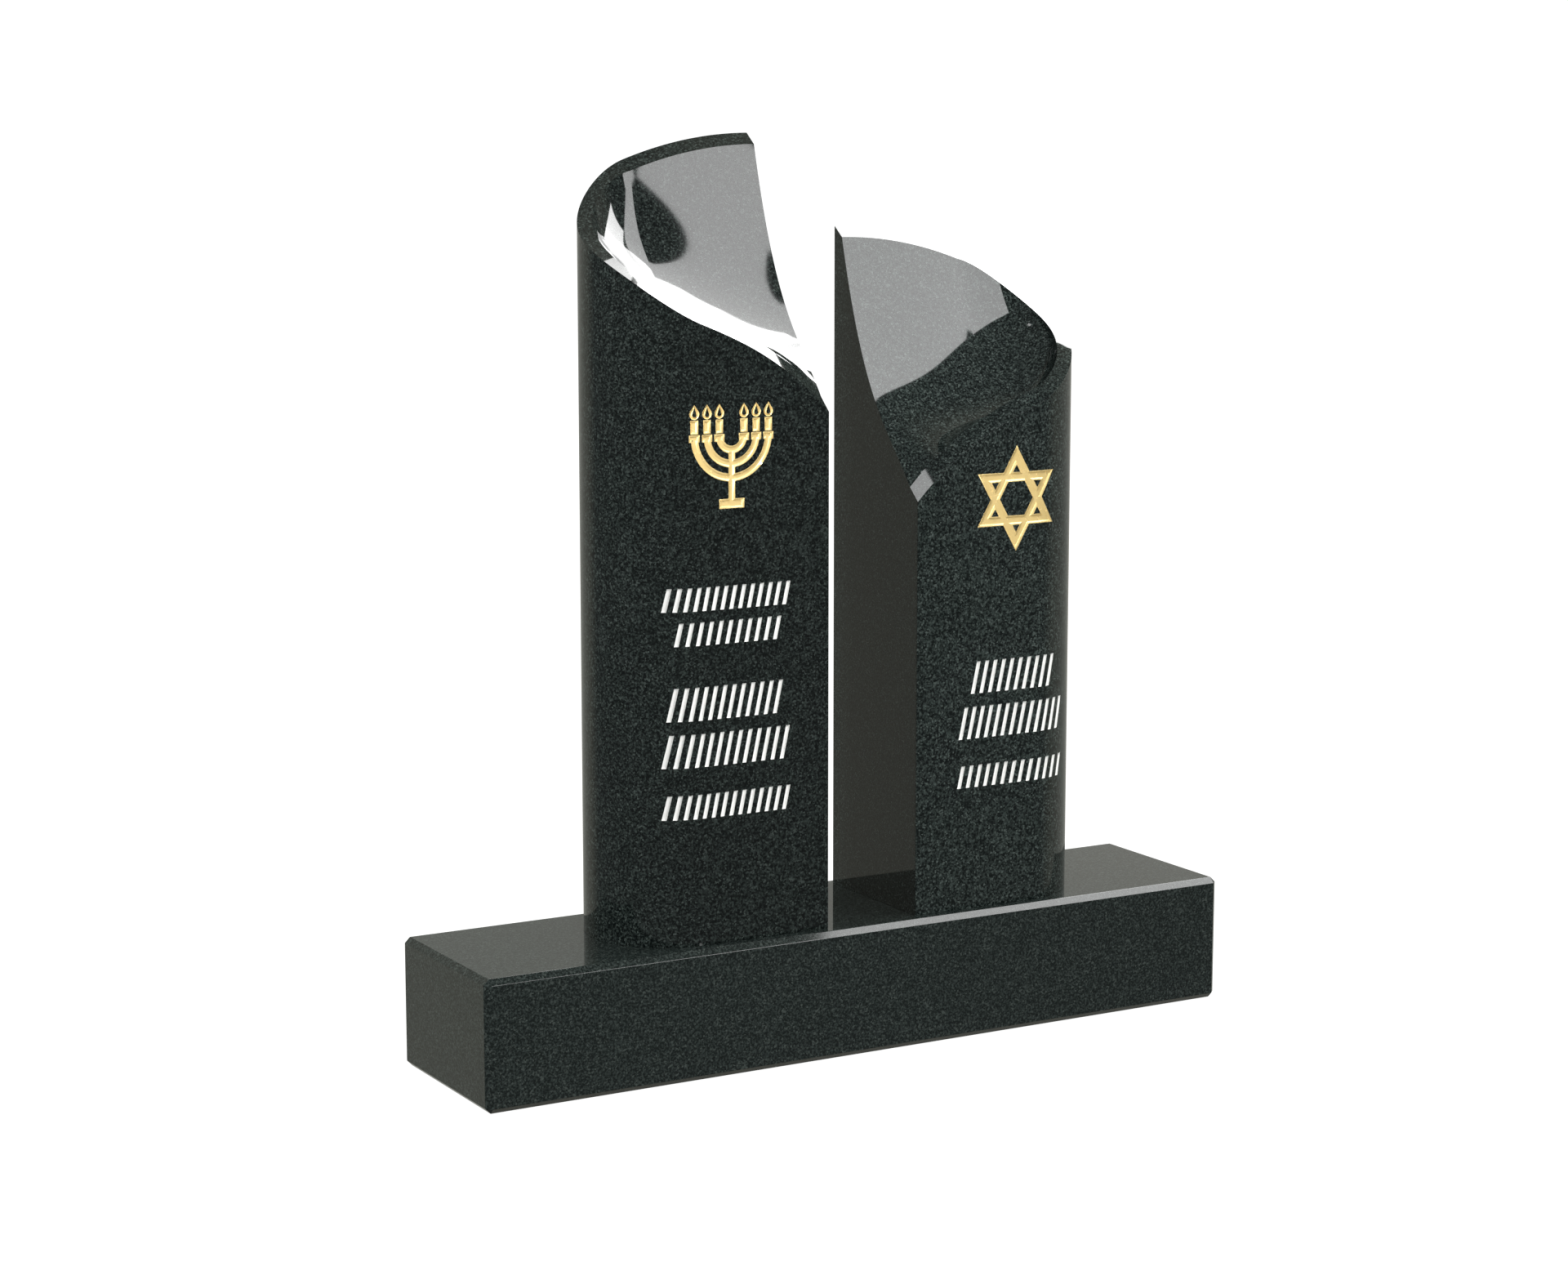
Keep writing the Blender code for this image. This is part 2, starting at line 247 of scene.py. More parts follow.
def build_stone(name, side, inner_face, peak):
    """One stone in its place, closed, with every arris rounded over."""
    body = bmesh.new()
    rings = []
    for ring in top_rings():
        rings.append([body.verts.new((inner_face + side * u, y, peak + z)) for u, y, z in ring])
    for outer, inner in zip(rings, rings[1:]):
        for i in range(len(outer) - 1):
            body.faces.new((outer[i], outer[i + 1], inner[i + 1], inner[i]))
    top = set(body.faces)
    foot = []
    for u, y, across, along in plan(0.0):
        foot.append(body.verts.new((inner_face + side * u, y, stone_seat)))
    walls = set()
    for i in range(len(foot) - 1):
        walls.add(body.faces.new((rings[0][i], foot[i], foot[i + 1], rings[0][i + 1])))
    body.faces.new(foot)
    back_half = [ring[0] for ring in rings]
    front_half = [ring[-1] for ring in rings]
    inner_wall = body.faces.new([foot[0]] + back_half + front_half[::-1][1:] + [foot[-1]])
    arrises = []
    for edge in body.edges:
        kinds = set()
        for face in edge.link_faces:
            kinds.add(0 if face in top else 1 if face in walls else 2 if face is inner_wall else 3)
        if len(kinds) == 2 and 3 not in kinds:
            arrises.append(edge)
    bmesh.ops.remove_doubles(body, verts=body.verts, dist=JOIN_DISTANCE)
    arrises = [edge for edge in arrises if edge.is_valid]
    bmesh.ops.recalc_face_normals(body, faces=body.faces)
    bmesh.ops.bevel(body, geom=arrises, offset=STONE_ARRIS, offset_type="OFFSET",
                    segments=ARRIS_SEGMENTS, profile=0.5, affect="EDGES", clamp_overlap=True)
    mesh = bpy.data.meshes.new(name)
    body.to_mesh(mesh)
    body.free()
    mesh.materials.append(stone_granite)
    stone = bpy.data.objects.new(name, mesh)
    bpy.context.collection.objects.link(stone)
    return stone


tall_stone = build_stone("tall_stone", -1, left_high.x, left_high.z)
low_stone = build_stone("low_stone", 1, right_low.x, right_high.z)


# Gilded emblems
# A lampstand on the tall stone and a six-pointed star on the low one. Each is cut into the
# polished front with sloping sides, and the cut is then covered with gold leaf.

CUT_DEPTH = 0.003
CUT_SLOPE = 0.0034
CUTTER_PROUD = 0.001
BEND_STEP = 0.005
BISECT_DISTANCE = 1e-7
LAMP_CENTRE = 0.1675
LAMP_HEIGHT = 0.7714
ARM_PITCH = 0.0208
ARM_WIDTH = 0.0115
ARM_PAIRS = 3
ARM_FACETS = 40
STEM_WIDTH = 0.0112
FOOT_WIDTH = 0.0426
FOOT_HEIGHT = 0.0145
FOOT_DROP = 0.0940
CUP_WIDTH = 0.0172
CUP_HEIGHT = 0.0110
CUP_DROP = 0.0078
CANDLE_WIDTH = 0.0124
CANDLE_HEIGHT = 0.0205
FLAME_WIDTH = 0.0160
FLAME_HEIGHT = 0.0220
FLAME_SIDE = 0.0046
FLAME_BOTTOM = 0.0034
FLAME_TOP = 0.0040
FLAME_SLOPE = 0.0011
FLAME_DEPTH = 0.0021
FLAME_TURNS = 14
WEB = 0.0012
STAR_CENTRE = 0.1815
STAR_HEIGHT = 0.6475
STAR_RADIUS = 0.083
STAR_BAND = 0.0149
LEAF_THICKNESS = 0.00015
LEAF_CREASE = math.radians(20)


def gold_leaf():
    """Gold leaf: warm metal, a little uneven, brighter where it is burnished."""
    material = bpy.data.materials.new("gold leaf")
    material.use_nodes = True
    nodes = material.node_tree.nodes
    links = material.node_tree.links
    shader = nodes["Principled BSDF"]
    shader.inputs["Metallic"].default_value = 0.4
    place = nodes.new("ShaderNodeTexCoord")
    cloud = nodes.new("ShaderNodeTexNoise")
    cloud.inputs["Scale"].default_value = 90.0
    cloud.inputs["Detail"].default_value = 4.0
    links.new(place.outputs["Object"], cloud.inputs["Vector"])
    tint = nodes.new("ShaderNodeValToRGB")
    tint.color_ramp.elements[0].color = (0.71, 0.52, 0.21, 1.0)
    tint.color_ramp.elements[1].color = (0.85, 0.65, 0.29, 1.0)
    links.new(cloud.outputs["Fac"], tint.inputs["Fac"])
    links.new(tint.outputs["Color"], shader.inputs["Base Color"])
    rough = nodes.new("ShaderNodeMapRange")
    rough.inputs["To Min"].default_value = 0.20
    rough.inputs["To Max"].default_value = 0.32
    links.new(cloud.outputs["Fac"], rough.inputs["Value"])
    links.new(rough.outputs["Result"], shader.inputs["Roughness"])
    return material


def inset_outline(outline, distance):
    """The outline moved inwards with its corners kept. It runs anticlockwise in (x, z)."""
    moved = []
    for i, point in enumerate(outline):
        here = Vector(point)
        before = (here - Vector(outline[i - 1])).normalized()
        after = (Vector(outline[(i + 1) % len(outline)]) - here).normalized()
        first = Vector((-before.y, before.x))
        second = Vector((-after.y, after.x))
        mitre = (first + second) / (1.0 + first.dot(second))
        moved.append(here + mitre * distance)
    return moved


def add_cutter(body, outline, slope, depth, hole=None):
    """A sloping-sided plug, flat in y = 0, from just proud of the face down to the floor."""
    levels = ((-CUTTER_PROUD, -slope * CUTTER_PROUD / depth), (depth, slope))
    loops = []
    for y, inwards in levels:
        loops.append([body.verts.new((p.x, y, p.y)) for p in inset_outline(outline, inwards)])
        if hole:
            island = inset_outline(hole, -inwards)
            loops.append([body.verts.new((p.x, y, p.y)) for p in island])
    count = len(outline)
    if hole:
        near, near_hole, far, far_hole = loops
        joined = ((near, near_hole), (far_hole, far), (far, near), (near_hole, far_hole))
        for first, second in joined:
            for i in range(count):
                j = (i + 1) % count
                body.faces.new((first[i], first[j], second[j], second[i]))
    else:
        near, far = loops
        for i in range(count // 2 - 1):
            j = count - 1 - i
            body.faces.new((near[i], near[i + 1], near[j - 1], near[j]))
            body.faces.new((far[i], far[j], far[j - 1], far[i + 1]))
        for i in range(count):
            j = (i + 1) % count
            body.faces.new((near[j], near[i], far[i], far[j]))


def bar(x, z, width, height):
    """A rectangle standing on (x, z)."""
    half = width / 2
    return [(x - half, z), (x + half, z), (x + half, z + height), (x - half, z + height)]


def arm_ring(x, z, radius):
    """A half ring, open upwards, for one pair of arms."""
    outline = []
    for step in range(ARM_FACETS + 1):
        angle = math.pi + math.pi * step / ARM_FACETS
        outline.append((radius + ARM_WIDTH / 2, angle))
    for step in range(ARM_FACETS, -1, -1):
        angle = math.pi + math.pi * step / ARM_FACETS
        outline.append((radius - ARM_WIDTH / 2, angle))
    return [(x + r * math.cos(a), z + r * math.sin(a)) for r, a in outline]


def drop(x, z, width, height):
    """A teardrop, pointed at the top, standing on (x, z)."""
    radius = width / 2
    middle = z + radius
    lean = math.asin(radius / (z + height - middle))
    outline = [(x, z + height)]
    for step in range(FLAME_TURNS + 1):
        angle = math.pi - lean + (math.pi + 2 * lean) * step / FLAME_TURNS
        outline.append((x + radius * math.cos(angle), middle + radius * math.sin(angle)))
    return outline


def triangle(x, z, radius, turn):
    """An even triangle about (x, z), with its first corner at turn degrees."""
    corners = []
    for step in range(3):
        angle = math.radians(turn + 120 * step)
        corners.append((x + radius * math.cos(angle), z + radius * math.sin(angle)))
    return corners


def bend_to_front(body, side, inner_face):
    """Lay flat plugs onto the front, which runs straight and then round the outer end."""
    for step in range(int(round_radius / BEND_STEP)):
        x = inner_face + side * (flat_width + BEND_STEP * step)
        everything = body.verts[:] + body.edges[:] + body.faces[:]
        bmesh.ops.bisect_plane(body, geom=everything, dist=BISECT_DISTANCE,
                               plane_co=(x, 0.0, 0.0), plane_no=(1.0, 0.0, 0.0))
    for vertex in body.verts:
        round_part = max(0.0, side * (vertex.co.x - inner_face) - flat_width)
        vertex.co.y -= math.sqrt(round_radius ** 2 - round_part ** 2)


def cutter_object(name, body, material):
    """The bent plugs as one object that carve() can take out of a stone."""
    bmesh.ops.recalc_face_normals(body, faces=body.faces)
    for face in body.faces:
        face.material_index = 0
    mesh = bpy.data.meshes.new(name)
    body.to_mesh(mesh)
    body.free()
    mesh.materials.append(material)
    cutter = bpy.data.objects.new(name, mesh)
    bpy.context.collection.objects.link(cutter)
    return cutter


def mesh_from_tree(tree, values):
    """The plain mesh that a Geometry Nodes tree makes with these inputs."""
    holder = bpy.data.objects.new(tree.name, bpy.data.meshes.new(tree.name))
    bpy.context.collection.objects.link(holder)
    layout = holder.modifiers.new(tree.name, "NODES")
    layout.node_group = tree
    for item in tree.interface.items_tree:
        if item.in_out == "INPUT":
            layout[item.identifier] = values[item.name]
    bpy.context.view_layer.update()
    graph = bpy.context.evaluated_depsgraph_get()
    mesh = bpy.data.meshes.new_from_object(holder.evaluated_get(graph))
    bpy.data.objects.remove(holder)
    return mesh


def tree_with_inputs(name, inputs):
    """An empty tree with named inputs. Gives the tree, its inputs and its outcome."""
    tree = bpy.data.node_groups.new(name, "GeometryNodeTree")
    tree.interface.new_socket("Geometry", in_out="OUTPUT", socket_type="NodeSocketGeometry")
    for label, kind in inputs:
        tree.interface.new_socket(label, in_out="INPUT", socket_type="NodeSocket" + kind)
    return tree, tree.nodes.new("NodeGroupInput").outputs, tree.nodes.new("NodeGroupOutput").inputs


def feed(tree, socket, term):
    """Set a socket to a plain number, or link it to another socket."""
    if isinstance(term, float):
        socket.default_value = term
    else:
        tree.links.new(term, socket)


def reckon(tree, operation, *terms):
    """A Math node over sockets and numbers."""
    node = tree.nodes.new("ShaderNodeMath")
    node.operation = operation
    for socket, term in zip(node.inputs, terms):
        feed(tree, socket, term)
    return node.outputs["Value"]


def point_of(tree, x, y, z):
    """A Combine XYZ node over sockets and numbers."""
    node = tree.nodes.new("ShaderNodeCombineXYZ")
    for socket, term in zip(node.inputs, (x, y, z)):
        feed(tree, socket, term)
    return node.outputs["Vector"]


def repeat_on_line(tree, given, piece, first_x, first_z):
    """Copies of one piece at an even pitch, as one realized mesh."""
    line = tree.nodes.new("GeometryNodeMeshLine")
    tree.links.new(given["Count"], line.inputs["Count"])
    tree.links.new(point_of(tree, first_x, 0.0, first_z), line.inputs["Start Location"])
    tree.links.new(point_of(tree, given["Pitch"], 0.0, 0.0), line.inputs["Offset"])
    copies = tree.nodes.new("GeometryNodeInstanceOnPoints")
    tree.links.new(line.outputs["Mesh"], copies.inputs["Points"])
    tree.links.new(piece, copies.inputs["Instance"])
    real = tree.nodes.new("GeometryNodeRealizeInstances")
    tree.links.new(copies.outputs["Instances"], real.inputs["Geometry"])
    return real.outputs["Geometry"]


def finish_tree(tree, geometry, material, outcome):
    """Give the mesh its material and make it the tree's outcome."""
    finish = tree.nodes.new("GeometryNodeSetMaterial")
    tree.links.new(geometry, finish.inputs["Geometry"])
    tree.links.new(material, finish.inputs["Material"])
    tree.links.new(finish.outputs["Geometry"], outcome["Geometry"])


def candle_line_tree():
    """Geometry Nodes for a line of like candles, each on its cup and under its flame."""
    tree, given, outcome = tree_with_inputs("candle line", (
        ("Candle", "Object"),
        ("Count", "Int"),
        ("Pitch", "Float"),
        ("First X", "Float"),
        ("Bottom", "Float"),
        ("Gilding", "Material"),
    ))
    candle = tree.nodes.new("GeometryNodeObjectInfo")
    tree.links.new(given["Candle"], candle.inputs["Object"])
    line = repeat_on_line(tree, given, candle.outputs["Geometry"], given["First X"], given["Bottom"])
    finish_tree(tree, line, given["Gilding"], outcome)
    return tree


def carve(stone, cutters):
    """Cut the plugs out of a stone. The faces of each cut keep the plug's material."""
    for cutter in cutters:
        step = stone.modifiers.new("cut", "BOOLEAN")
        step.operation = "DIFFERENCE"
        step.solver = "EXACT"
        step.use_self = True
        step.material_mode = "TRANSFER"
        step.object = cutter
    bpy.context.view_layer.update()
    graph = bpy.context.evaluated_depsgraph_get()
    carved = bpy.data.meshes.new_from_object(stone.evaluated_get(graph))
    stone.modifiers.clear()
    stone.data = carved
    for cutter in cutters:
        bpy.data.objects.remove(cutter)


def coat_cut(stone, name, material, thickness):
    """A thin closed coat over every face of the stone that was cut with that material."""
    slot_index = stone.data.materials.find(material.name)
    body = bmesh.new()
    body.from_mesh(stone.data)
    others = [face for face in body.faces if face.material_index != slot_index]
    bmesh.ops.delete(body, geom=others, context="FACES")
    for face in body.faces:
        face.material_index = 0
    mesh = bpy.data.meshes.new(name)
    body.to_mesh(mesh)
    body.free()
    mesh.materials.clear()
    mesh.materials.append(material)
    coat = bpy.data.objects.new(name, mesh)
    bpy.context.collection.objects.link(coat)
    skin = coat.modifiers.new("thickness", "SOLIDIFY")
    skin.thickness = thickness
    skin.offset = 1.0
    return coat


gold = gold_leaf()
lamp_x = left_high.x - LAMP_CENTRE
lamp_z = stone_seat + LAMP_HEIGHT
foot_z = lamp_z - FOOT_DROP

arms = bmesh.new()
for pair in range(1, ARM_PAIRS + 1):
    add_cutter(arms, arm_ring(lamp_x, lamp_z, pair * ARM_PITCH), CUT_SLOPE, CUT_DEPTH)
stem = bmesh.new()
stem_height = lamp_z - ARM_PITCH - foot_z + FOOT_HEIGHT / 2
add_cutter(stem, bar(lamp_x, foot_z - FOOT_HEIGHT / 2, STEM_WIDTH, stem_height), CUT_SLOPE, CUT_DEPTH)
one_candle = bmesh.new()
add_cutter(one_candle, bar(0.0, 0.0, CUP_WIDTH, CUP_HEIGHT), CUT_SLOPE, CUT_DEPTH)
candle_z = CUP_HEIGHT + WEB
add_cutter(one_candle, bar(0.0, candle_z, CANDLE_WIDTH, CANDLE_HEIGHT), CUT_SLOPE, CUT_DEPTH)
flame_z = candle_z + CANDLE_HEIGHT + WEB
flame_island = drop(0.0, flame_z + FLAME_BOTTOM, FLAME_WIDTH - 2 * FLAME_SIDE,
                    FLAME_HEIGHT - FLAME_BOTTOM - FLAME_TOP)
add_cutter(one_candle, drop(0.0, flame_z, FLAME_WIDTH, FLAME_HEIGHT), FLAME_SLOPE, FLAME_DEPTH,
           flame_island)
candle = cutter_object("candle", one_candle, gold)
candle_line = candle_line_tree()
candles = bmesh.new()
add_cutter(candles, bar(lamp_x, foot_z - FOOT_HEIGHT, FOOT_WIDTH, FOOT_HEIGHT), CUT_SLOPE, CUT_DEPTH)
for first_pair in (-ARM_PAIRS, 1):
    candles.from_mesh(mesh_from_tree(candle_line, {
        "Candle": candle,
        "Count": ARM_PAIRS,
        "Pitch": ARM_PITCH,
        "First X": lamp_x + first_pair * ARM_PITCH,
        "Bottom": lamp_z - CUP_DROP,
        "Gilding": gold,
    }))
bpy.data.objects.remove(candle)
lamp_cutters = []
for name, body in (("arms", arms), ("stem", stem), ("candles", candles)):
    bend_to_front(body, -1, left_high.x)
    lamp_cutters.append(cutter_object(name, body, gold))

star_x = right_low.x + STAR_CENTRE
star_z = stone_seat + STAR_HEIGHT
star_cutters = []
for name, turn in (("star_up", 90), ("star_down", 270)):
    band = bmesh.new()
    island = triangle(star_x, star_z, STAR_RADIUS - 2 * STAR_BAND, turn)
    add_cutter(band, triangle(star_x, star_z, STAR_RADIUS, turn), CUT_SLOPE, CUT_DEPTH, island)
    bend_to_front(band, 1, right_low.x)
    star_cutters.append(cutter_object(name, band, gold))

carve(tall_stone, lamp_cutters)
carve(low_stone, star_cutters)
lampstand_gold = coat_cut(tall_stone, "lampstand_gold", gold, LEAF_THICKNESS)
star_gold = coat_cut(low_stone, "star_gold", gold, LEAF_THICKNESS)
for coat in (lampstand_gold, star_gold):
    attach(coat, "root")


# Rows of strokes
# Plain slanting bars cut in rows under each emblem, five on the tall stone and three on the
# low one. They are cut as deep as the emblems and coated with white stone paint.

LEFT_ROWS = (
    (0.5116, 0.0353, 0.067, 0.064),
    (0.4596, 0.0350, 0.083, 0.081),
    (0.3460, 0.0505, 0.080, 0.070),
    (0.2750, 0.0505, 0.068, 0.063),
    (0.1960, 0.0370, 0.067, 0.063),
)
RIGHT_ROWS = (
    (0.3440, 0.0505, 0.100, 0.082),
    (0.2725, 0.0505, 0.078, 0.060),
    (0.1945, 0.0350, 0.076, 0.059),
)
STROKE_PITCH = 0.0150
STROKE_WIDTH = 0.0066
STROKE_SLANT = 0.22
STROKE_SLOPE = 0.0008
STROKE_STEPS = 4
PAINT_THICKNESS = 0.0002


def stone_paint():
    """Matt white stone paint with a faint brushed unevenness."""
    material = bpy.data.materials.new("white stone paint")
    material.use_nodes = True
    nodes = material.node_tree.nodes
    links = material.node_tree.links
    shader = nodes["Principled BSDF"]
    shader.inputs["Roughness"].default_value = 0.6
    place = nodes.new("ShaderNodeTexCoord")
    cloud = nodes.new("ShaderNodeTexNoise")
    cloud.inputs["Scale"].default_value = 240.0
    links.new(place.outputs["Object"], cloud.inputs["Vector"])
    tint = nodes.new("ShaderNodeValToRGB")
    tint.color_ramp.elements[0].color = (0.84, 0.84, 0.82, 1.0)
    tint.color_ramp.elements[1].color = (0.93, 0.93, 0.91, 1.0)
    links.new(cloud.outputs["Fac"], tint.inputs["Fac"])
    links.new(tint.outputs["Color"], shader.inputs["Base Color"])
    return material


def stroke_row_tree():
    """Geometry Nodes for one row: tapered, slanting plugs on a line, bent onto the front."""
    tree, given, outcome = tree_with_inputs("stroke row", (
        ("Count", "Int"),
        ("Pitch", "Float"),
        ("First X", "Float"),
        ("Bottom", "Float"),
        ("Height", "Float"),
        ("Width", "Float"),
        ("Slant", "Float"),
        ("Taper", "Float"),
        ("Depth", "Float"),
        ("Proud", "Float"),
        ("Side", "Float"),
        ("Inner Face", "Float"),
        ("Straight Part", "Float"),
        ("Round Radius", "Float"),
        ("Paint", "Material"),
    ))
    plug = tree.nodes.new("GeometryNodeMeshCube")
    plug.inputs["Vertices X"].default_value = STROKE_STEPS
    thickness = reckon(tree, "ADD", given["Depth"], given["Proud"])
    tree.links.new(point_of(tree, given["Width"], thickness, given["Height"]), plug.inputs["Size"])

    where = tree.nodes.new("GeometryNodeInputPosition")
    place = tree.nodes.new("ShaderNodeSeparateXYZ")
    tree.links.new(where.outputs["Position"], place.inputs["Vector"])
    half_rise = reckon(tree, "MULTIPLY", reckon(tree, "SUBTRACT", given["Depth"], given["Proud"]), 0.5)
    depth = reckon(tree, "ADD", place.outputs["Y"], half_rise)
    inwards = reckon(tree, "DIVIDE", reckon(tree, "MULTIPLY", given["Taper"], depth), given["Depth"])
    both_sides = reckon(tree, "MULTIPLY", inwards, 2.0)
    narrower = reckon(tree, "SUBTRACT", 1.0, reckon(tree, "DIVIDE", both_sides, given["Width"]))
    shorter = reckon(tree, "SUBTRACT", 1.0, reckon(tree, "DIVIDE", both_sides, given["Height"]))
    half_width = reckon(tree, "MULTIPLY", given["Width"], 0.5)
    half_height = reckon(tree, "MULTIPLY", given["Height"], 0.5)
    z = reckon(tree, "MULTIPLY_ADD", place.outputs["Z"], shorter, half_height)
    upright_x = reckon(tree, "MULTIPLY_ADD", place.outputs["X"], narrower, half_width)
    x = reckon(tree, "MULTIPLY_ADD", z, given["Slant"], upright_x)
    shaped = tree.nodes.new("GeometryNodeSetPosition")
    tree.links.new(plug.outputs["Mesh"], shaped.inputs["Geometry"])
    tree.links.new(point_of(tree, x, depth, z), shaped.inputs["Position"])

    row = repeat_on_line(tree, given, shaped.outputs["Geometry"], given["First X"], given["Bottom"])
    from_face = reckon(tree, "SUBTRACT", place.outputs["X"], given["Inner Face"])
    outwards = reckon(tree, "MULTIPLY", from_face, given["Side"])
    past_straight = reckon(tree, "SUBTRACT", outwards, given["Straight Part"])
    around = reckon(tree, "MAXIMUM", past_straight, 0.0)
    radius_squared = reckon(tree, "MULTIPLY", given["Round Radius"], given["Round Radius"])
    left_over = reckon(tree, "SUBTRACT", radius_squared, reckon(tree, "MULTIPLY", around, around))
    forwards = reckon(tree, "MULTIPLY", reckon(tree, "SQRT", left_over), -1.0)
    bent = tree.nodes.new("GeometryNodeSetPosition")
    tree.links.new(row, bent.inputs["Geometry"])
    tree.links.new(point_of(tree, 0.0, forwards, 0.0), bent.inputs["Offset"])
    finish_tree(tree, bent.outputs["Geometry"], given["Paint"], outcome)
    return tree


white = stone_paint()
stroke_row = stroke_row_tree()
paints = []
for stone, side, inner_face, rows, name in (
    (tall_stone, -1, left_high.x, LEFT_ROWS, "tall_stone_paint"),
    (low_stone, 1, right_low.x, RIGHT_ROWS, "low_stone_paint"),
):
    strokes = bmesh.new()
    for bottom, height, inner_margin, outer_margin in rows:
        length = stone_width - inner_margin - outer_margin
        spread = length - STROKE_SLANT * height - STROKE_WIDTH
        gaps = int(spread / STROKE_PITCH)
        strokes.from_mesh(mesh_from_tree(stroke_row, {
            "Count": gaps + 1,
            "Pitch": spread / gaps,
            "First X": inner_face + (inner_margin if side > 0 else -inner_margin - length),
            "Bottom": stone_seat + bottom,
            "Height": height,
            "Width": STROKE_WIDTH,
            "Slant": STROKE_SLANT,
            "Taper": STROKE_SLOPE,
            "Depth": CUT_DEPTH,
            "Proud": CUTTER_PROUD,
            "Side": float(side),
            "Inner Face": inner_face,
            "Straight Part": flat_width,
            "Round Radius": round_radius,
            "Paint": white,
        }))
    carve(stone, [cutter_object("strokes", strokes, white)])
    paint = coat_cut(stone, name, white, PAINT_THICKNESS)
    paints.append(paint)
    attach(paint, "root")


# Finished stones
# Once every mark is cut, both stones are one granite again and stand bedded on the base.
# Their arrises stay crisp, and the gilding keeps the crisp edges of its cuts.

STONE_CREASE = math.radians(35)

for stone, node in ((tall_stone, "left_stone"), (low_stone, "right_stone")):
    for face in stone.data.polygons:
        face.material_index = 0
    stone.data.materials.clear()
    stone.data.materials.append(stone_granite)
    stone.data.shade_smooth()
    stone.data.set_sharp_from_angle(angle=STONE_CREASE)
    fair = stone.modifiers.new("even normals", "WEIGHTED_NORMAL")
    fair.keep_sharp = True
    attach(stone, "root")
    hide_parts(node)
for coat in (lampstand_gold, star_gold):
    coat.data.shade_smooth()
    coat.data.set_sharp_from_angle(angle=LEAF_CREASE)


# Studio
# A plain pale floor that runs up into a pale surround, and soft lamps and panels that give
# each piece its sheen. The camera stands in front of the tall stone's outer end.

FLOOR_REACH = 14.0
SURROUND_HEIGHT = 9.0
SURROUND_CURVE = 4.0
CURVE_STEPS = 12
BOWL_STEPS = 64
FLOOR_DROP = 0.0005

pale = bpy.data.materials.new("pale studio")
pale.use_nodes = True
pale_shader = pale.node_tree.nodes["Principled BSDF"]
pale_shader.inputs["Base Color"].default_value = (0.9, 0.9, 0.9, 1.0)
pale_shader.inputs["Roughness"].default_value = 0.9
pale_shader.inputs["Emission Color"].default_value = (1.0, 1.0, 1.0, 1.0)
pale_shader.inputs["Emission Strength"].default_value = 1.0

profile = [(0.0, 0.0), (FLOOR_REACH - SURROUND_CURVE, 0.0)]
for step in range(1, CURVE_STEPS + 1):
    angle = math.pi / 2 * step / CURVE_STEPS
    profile.append((FLOOR_REACH - SURROUND_CURVE + SURROUND_CURVE * math.sin(angle),
                    SURROUND_CURVE * (1.0 - math.cos(angle))))
profile.append((FLOOR_REACH, SURROUND_HEIGHT))
bowl = bmesh.new()
points = [bowl.verts.new((reach, 0.0, height - FLOOR_DROP)) for reach, height in profile]
chain = [bowl.edges.new(pair) for pair in zip(points, points[1:])]
bmesh.ops.spin(bowl, geom=points + chain, cent=(0.0, 0.0, 0.0), axis=(0.0, 0.0, 1.0),
               angle=2 * math.pi, steps=BOWL_STEPS, use_duplicate=False)
bmesh.ops.remove_doubles(bowl, verts=bowl.verts, dist=0.0001)
bmesh.ops.recalc_face_normals(bowl, faces=bowl.faces)
floor_mesh = bpy.data.meshes.new("studio_floor")
bowl.to_mesh(floor_mesh)
bowl.free()
floor_mesh.shade_smooth()
floor_mesh.materials.append(pale)
studio_floor = bpy.data.objects.new("studio_floor", floor_mesh)
bpy.context.collection.objects.link(studio_floor)
studio_floor.visible_glossy = False
studio_floor.visible_shadow = False
studio_floor.visible_diffuse = False

SHADE_BACK_AZIMUTH = math.radians(40)
SHADES = (
    (0.05, (0.148, 0.154, 0.150)),
    (0.35, (0.330, 0.330, 0.282)),
    (0.95, (0.385, 0.390, 0.355)),
    (1.00, (0.560, 0.540, 0.495)),
)

world = bpy.data.worlds.new("studio")
bpy.context.scene.world = world
world.use_nodes = True
world_nodes = world.node_tree.nodes
world_links = world.node_tree.links
way = world_nodes.new("ShaderNodeTexCoord")
towards_back = world_nodes.new("ShaderNodeVectorMath")
towards_back.operation = "DOT_PRODUCT"
towards_back.inputs[1].default_value = (math.sin(SHADE_BACK_AZIMUTH), math.cos(SHADE_BACK_AZIMUTH), 0.0)
world_links.new(way.outputs["Generated"], towards_back.inputs[0])
shade = world_nodes.new("ShaderNodeValToRGB")
stops = shade.color_ramp.elements
while len(stops) < len(SHADES):
    stops.new(0.5)
for stop, (position, colour) in zip(stops, SHADES):
    stop.position = position
    stop.color = (*colour, 1.0)
world_links.new(towards_back.outputs["Value"], shade.inputs["Fac"])
world_links.new(shade.outputs["Color"], world_nodes["Background"].inputs["Color"])


def shine_only_on(lamp, things):
    """Keep a lamp's light and its mirror image to a few pieces."""
    lit = bpy.data.collections.new(lamp.name)
    for thing in things:
        lit.objects.link(thing)
    lamp.light_linking.receiver_collection = lit


